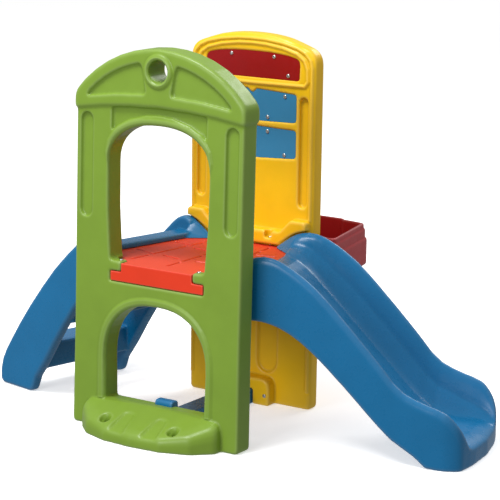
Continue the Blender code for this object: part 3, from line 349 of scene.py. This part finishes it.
def rear_relief(points, normals):
    """The ridge that frames the rear wall and the bezel round its red panel."""
    across, up = points[:, 0] - MIDDLE_X, points[:, 2]
    face = on_face(points, normals, REAR_FACE, 0.004)
    outer = distance_to(across, up, mirrored(OUTER_RIDGE))
    inner = distance_to(across, up, mirrored(INNER_RIDGE))
    moved = np.zeros_like(points)
    moved[:, 1] = -face * (raised(outer, 0.0075, 0.0050) + raised(inner, 0.0075, 0.0048))
    return moved


UPRIGHT = Matrix(((1, 0, 0, 0), (0, 1, -LEAN, 0), (0, 0, 1, 0), (0, 0, 0, 1)))  # undoes the wall's lean
SLIDE_TURN = Matrix.Rotation(-SPLAY, 4, "Z")
LADDER_TURN = Matrix.Rotation(SPLAY, 4, "Z")

moulded("front_wall", GREEN, voxel=0.0026, rounds=9, relief=front_relief, straighten=UPRIGHT)
moulded("rear_wall", YELLOW, voxel=0.0025, rounds=7, relief=rear_relief)
moulded("platform", ORANGE, voxel=0.0019, rounds=3)
moulded("slide", BLUE, voxel=0.0027, rounds=14, straighten=SLIDE_TURN)
moulded("ladder", BLUE, voxel=0.0024, rounds=9, straighten=LADDER_TURN)
moulded("floor_brace", BLUE, voxel=0.0020, rounds=5)
moulded("ball_bin", DARK_RED, voxel=0.0023, rounds=4)


# ---------------------------------------------------------------- panels
def panel(node, material):
    """Gives one flat CAD panel its material and a slightly softened edge."""
    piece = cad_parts[node]
    piece.data.materials.clear()
    piece.data.materials.append(material)
    soft = piece.modifiers.new("soft", "BEVEL")
    soft.width = 0.0008
    soft.segments = 2
    soft.limit_method = "ANGLE"


panel("red_panel", PANEL_RED)
panel("upper_blue_panel", PANEL_BLUE)
panel("lower_blue_panel", PANEL_BLUE)


# ---------------------------------------------------------------- screws
SCREW_SIDES = 48
HEAD_HEIGHT = 0.0028
SHANK_RADIUS = 0.0022
SCREW_TURN = 0.7  # each screw's cross is turned this many radians further than the last
# The head's outline from its middle out, as shares of its radius and height
DOME = [(0.0, 1.0), (0.2, 0.995), (0.36, 0.98), (0.5, 0.95), (0.62, 0.91)]
DOME += [(0.75, 0.83), (0.88, 0.66), (0.97, 0.4), (1.0, 0.15)]


def screw_mesh(radius, height, length, shank):
    """A pan-head screw with a cross recess. Its head's underside is at the origin, its shank along +Z."""
    half_slot, slot_reach, slot_depth = 0.17 * radius, 0.62 * radius, 0.55 * height
    builder = bmesh.new()
    profile = [(r * radius, -h * height) for r, h in DOME]
    profile += [(0.98 * radius, 0.0), (shank, 0.0), (shank, length - shank), (0.0, length)]
    rings = []
    for ring, along in profile:
        spots = []
        for i in range(SCREW_SIDES if ring else 1):
            angle = 2 * math.pi * i / SCREW_SIDES
            x, y = ring * math.cos(angle), ring * math.sin(angle)
            sink = 0.0
            if along < 0 and max(abs(x), abs(y)) < slot_reach and min(abs(x), abs(y)) < half_slot:
                sink = slot_depth
            spots.append(builder.verts.new((x, y, along + sink)))
        rings.append(spots)
    for lower, upper in zip(rings, rings[1:]):
        for i in range(SCREW_SIDES):
            k = (i + 1) % SCREW_SIDES
            corners = [lower[i % len(lower)], lower[k % len(lower)]]
            corners += [upper[k % len(upper)], upper[i % len(upper)]]
            builder.faces.new(list(dict.fromkeys(corners)))
    bmesh.ops.recalc_face_normals(builder, faces=builder.faces)
    mesh = bpy.data.meshes.new("pan_head_screw")
    builder.to_mesh(mesh)
    builder.free()
    mesh.materials.append(STEEL)
    mesh.shade_smooth()
    mesh.set_sharp_from_angle(angle=math.radians(50.0))
    return mesh


def place_screws(prefix, axis):
    """A detailed screw in the place of each CAD screw of one group, driven in along axis."""
    axis = Vector(axis)
    names = sorted(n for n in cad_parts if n.startswith(prefix + "_"))
    for number, name in enumerate(names, 1):
        low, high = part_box(name)
        size = high - low
        length_all = max(abs(size.dot(axis)), 1e-6)
        radius = min(size.x, size.y, size.z) / 2
        mesh = screw_mesh(radius, HEAD_HEIGHT, length_all - HEAD_HEIGHT, SHANK_RADIUS)
        screw = bpy.data.objects.new(name + "_detailed", mesh)
        bpy.context.scene.collection.objects.link(screw)
        centre = (low + high) / 2
        seat = centre - axis * (length_all / 2 - HEAD_HEIGHT)
        turn = axis.to_track_quat("Z", "Y").to_matrix().to_4x4()
        spin = Matrix.Rotation(SCREW_TURN * number, 4, "Z")
        screw.matrix_world = Matrix.Translation(seat) @ turn @ spin
        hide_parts(name)
        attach(screw, "root")


for prefix in ("red_panel_screw", "upper_panel_screw", "lower_panel_screw", "brace_screw"):
    place_screws(prefix, (0, 1, 0))
for prefix in ("front_lug_screw", "shoulder_screw"):
    place_screws(prefix, (0, 0, -1))
for prefix in ("slide_screw", "ladder_screw"):
    place_screws(prefix, (0, 0, 1))
place_screws("bin_screw", (0, -1, 0))


# ---------------------------------------------------------------- camera
SENSOR_WIDTH = 36.0  # mm
LENS = 153.26  # mm
VIEW = Vector((-0.54296, 0.81275, -0.21127))
CAMERA_ROLL = math.radians(0.724)
CAMERA_STAND = Vector((3.52701 + MIDDLE_X, -5.15389 + FRONT_LOW.y + 0.488, 1.84500))


def make_camera():
    """The scene's camera, rolled a little about its own view line."""
    data = bpy.data.cameras.new("camera")
    data.sensor_width = SENSOR_WIDTH
    data.lens = LENS
    data.clip_end = 60.0
    camera = bpy.data.objects.new("camera", data)
    bpy.context.scene.collection.objects.link(camera)
    forward = VIEW.normalized()
    right = forward.cross(Vector((0, 0, 1))).normalized()
    up = right.cross(forward)
    across = right * math.cos(CAMERA_ROLL) + up * math.sin(CAMERA_ROLL)
    over = up * math.cos(CAMERA_ROLL) - right * math.sin(CAMERA_ROLL)
    turn = Matrix((across, over, -forward)).transposed().to_4x4()
    camera.matrix_world = Matrix.Translation(CAMERA_STAND) @ turn
    bpy.context.scene.camera = camera


# ---------------------------------------------------------------- studio
FLOOR_NEAR, FLOOR_FAR, FLOOR_SIDE = -14.0, 10.0, 22.0  # how far the floor reaches to -Y, +Y and each side
SWEEP = 3.0  # radius of the bend from floor to backdrop
BACKDROP_TOP = 12.0
FLOOR_DROP = 0.0005  # the floor is this far below the feet
FLOOR_GLOW = 0.50
WORLD_STRENGTH = 0.72
SKY = ((0.0, 0.62), (0.5, 0.50), (1.0, 0.85))  # brightness straight down, at the horizon and straight up


def area_light(name, at, target, size, power):
    """A white rectangle of light that faces target."""
    data = bpy.data.lights.new(name, "AREA")
    data.shape = "RECTANGLE"
    data.size, data.size_y = size
    data.energy = power
    light = bpy.data.objects.new(name, data)
    light.location = at
    light.rotation_euler = (Vector(target) - Vector(at)).to_track_quat("-Z", "Y").to_euler()
    bpy.context.scene.collection.objects.link(light)


def make_floor():
    """A wide pale floor that curves up into a backdrop far behind."""
    builder = bmesh.new()
    profile = [(FLOOR_NEAR, 0.0), (FLOOR_FAR, 0.0)]
    for angle in np.linspace(0.15, math.pi / 2, 10):
        profile.append((FLOOR_FAR + SWEEP * math.sin(angle), SWEEP - SWEEP * math.cos(angle)))
    profile.append((FLOOR_FAR + SWEEP, BACKDROP_TOP))
    sides = (-FLOOR_SIDE, FLOOR_SIDE)
    rows = [[builder.verts.new((x, y, z - FLOOR_DROP)) for y, z in profile] for x in sides]
    for i in range(len(profile) - 1):
        builder.faces.new((rows[0][i], rows[1][i], rows[1][i + 1], rows[0][i + 1]))
    mesh = bpy.data.meshes.new("studio_floor")
    builder.to_mesh(mesh)
    builder.free()
    mesh.shade_smooth()
    floor = bpy.data.objects.new("studio_floor", mesh)
    bpy.context.scene.collection.objects.link(floor)
    nodes = Nodes("studio_paper")
    tone = nodes.blend(nodes.noise(3.0), (0.93, 0.93, 0.93, 1.0), (0.96, 0.96, 0.96, 1.0))
    nodes.link(tone, nodes.shader.inputs["Base Color"])
    nodes.shader.inputs["Roughness"].default_value = 0.9
    nodes.shader.inputs["Specular IOR Level"].default_value = 0.1
    nodes.shader.inputs["Emission Color"].default_value = (1.0, 1.0, 1.0, 1.0)
    nodes.shader.inputs["Emission Strength"].default_value = FLOOR_GLOW
    mesh.materials.append(nodes.material)
    floor.visible_diffuse = False
    floor.visible_glossy = False


def make_world():
    """Soft light all round, strongest from above and weakest from the sides."""
    world = bpy.data.worlds.new("studio")
    world.use_nodes = True
    tree = world.node_tree
    direction = tree.nodes.new("ShaderNodeTexCoord")
    split = tree.nodes.new("ShaderNodeSeparateXYZ")
    curve = tree.nodes.new("ShaderNodeValToRGB")
    stops = curve.color_ramp.elements
    stops.new(0.5)
    for stop, (position, level) in zip(stops, SKY):
        stop.position = position
        stop.color = (level, level, level, 1.0)
    half = tree.nodes.new("ShaderNodeMapRange")
    half.inputs["From Min"].default_value = -1.0
    tree.links.new(direction.outputs["Generated"], split.inputs["Vector"])
    tree.links.new(split.outputs["Z"], half.inputs["Value"])
    tree.links.new(half.outputs["Result"], curve.inputs["Fac"])
    background = tree.nodes["Background"]
    tree.links.new(curve.outputs["Color"], background.inputs["Color"])
    background.inputs["Strength"].default_value = WORLD_STRENGTH
    bpy.context.scene.world = world


def make_studio():
    """World light, a key from overhead, a wide front light and a rim from behind."""
    make_world()
    bpy.context.scene.view_settings.view_transform = "Standard"
    area_light("key", (-0.8, -2.0, 4.9), (0.0, 0.0, 0.5), (1.6, 1.6), 185.0)
    area_light("front", (-0.4, -5.0, 2.2), (0.0, 0.0, 0.5), (2.4, 1.6), 95.0)
    area_light("rim", (0.6, 4.6, 3.9), (0.2, 0.0, 0.4), (3.2, 0.7), 90.0)


make_camera()
make_floor()
make_studio()
